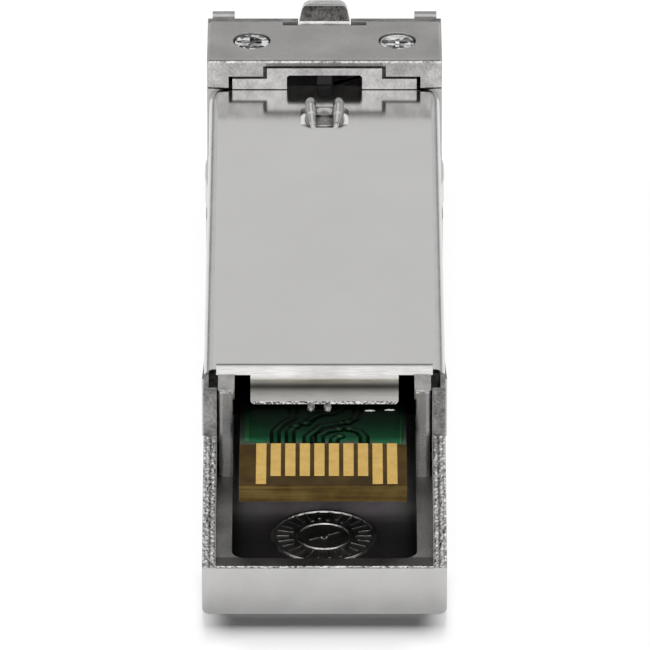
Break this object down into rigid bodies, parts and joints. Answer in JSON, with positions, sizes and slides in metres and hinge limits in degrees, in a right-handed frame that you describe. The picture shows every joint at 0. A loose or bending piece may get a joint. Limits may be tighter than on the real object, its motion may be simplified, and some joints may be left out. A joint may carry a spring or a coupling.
{
  "type": "pluggable optical transceiver module",
  "caption": "Pluggable optical transceiver: metal case with an open edge-connector end, duplex optical ports in the nose and a sprung release slider for the cage latch.",
  "frame": {"origin": "on the label-side face, under the middle of the module's length and width", "axes": "+Y from the edge-connector end to the nose, +Z from the label side to the latch side, +X across"},
  "size_m": [0.0138, 0.0564, 0.0106],
  "materials": {
    "cast_zinc": "satin die-cast, fine grain",
    "sheet_steel": "satin cold-rolled sheet",
    "slider_steel": "satin",
    "screw_steel": "bright plated",
    "board_laminate": "green solder mask over bare laminate",
    "contact_gold": "gold plated",
    "port_plastic": "moulded, fine grain",
    "barrel_steel": "turned",
    "ceramic": "ground ceramic",
    "can_gold": "plated",
    "flex_film": "film",
    "chip_plastic": "moulded",
    "capacitor_ceramic": "fired",
    "resistor_ceramic": "fired"
  },
  "bodies": {
    "module": {"main_housing": "cast_zinc", "bottom_cover": "sheet_steel", "board_carrier": "cast_zinc", "circuit_board": "board_laminate", "latch_side_contacts": "contact_gold", "label_side_contacts": "contact_gold", "latch_plate": "sheet_steel", "nose_cap": "cast_zinc", "nose_screws": "screw_steel", "return_spring": "screw_steel", "port_block": "port_plastic", "optics_clamp": "sheet_steel", "transmitter_barrel": "barrel_steel", "transmitter_sleeve": "ceramic", "transmitter_stub": "ceramic", "transmitter_can": "can_gold", "transmitter_flex": "flex_film", "receiver_barrel": "barrel_steel", "receiver_sleeve": "ceramic", "receiver_can": "can_gold", "receiver_flex": "flex_film", "driver_chip": "chip_plastic", "amplifier_chip": "chip_plastic", "memory_chip": "chip_plastic", "chip_capacitors": "capacitor_ceramic", "chip_resistors": "resistor_ceramic"},
    "slider": {"release_slider": "slider_steel"}
  },
  "joints": [
    {"name": "slider_push", "type": "slide", "parent": "module", "child": "slider", "axis": [0, -1, 0], "range_m": [0, 0.002], "stiffness_N_per_m": 300, "springref_m": -0.001, "deforming": ["return_spring"]}
  ]
}
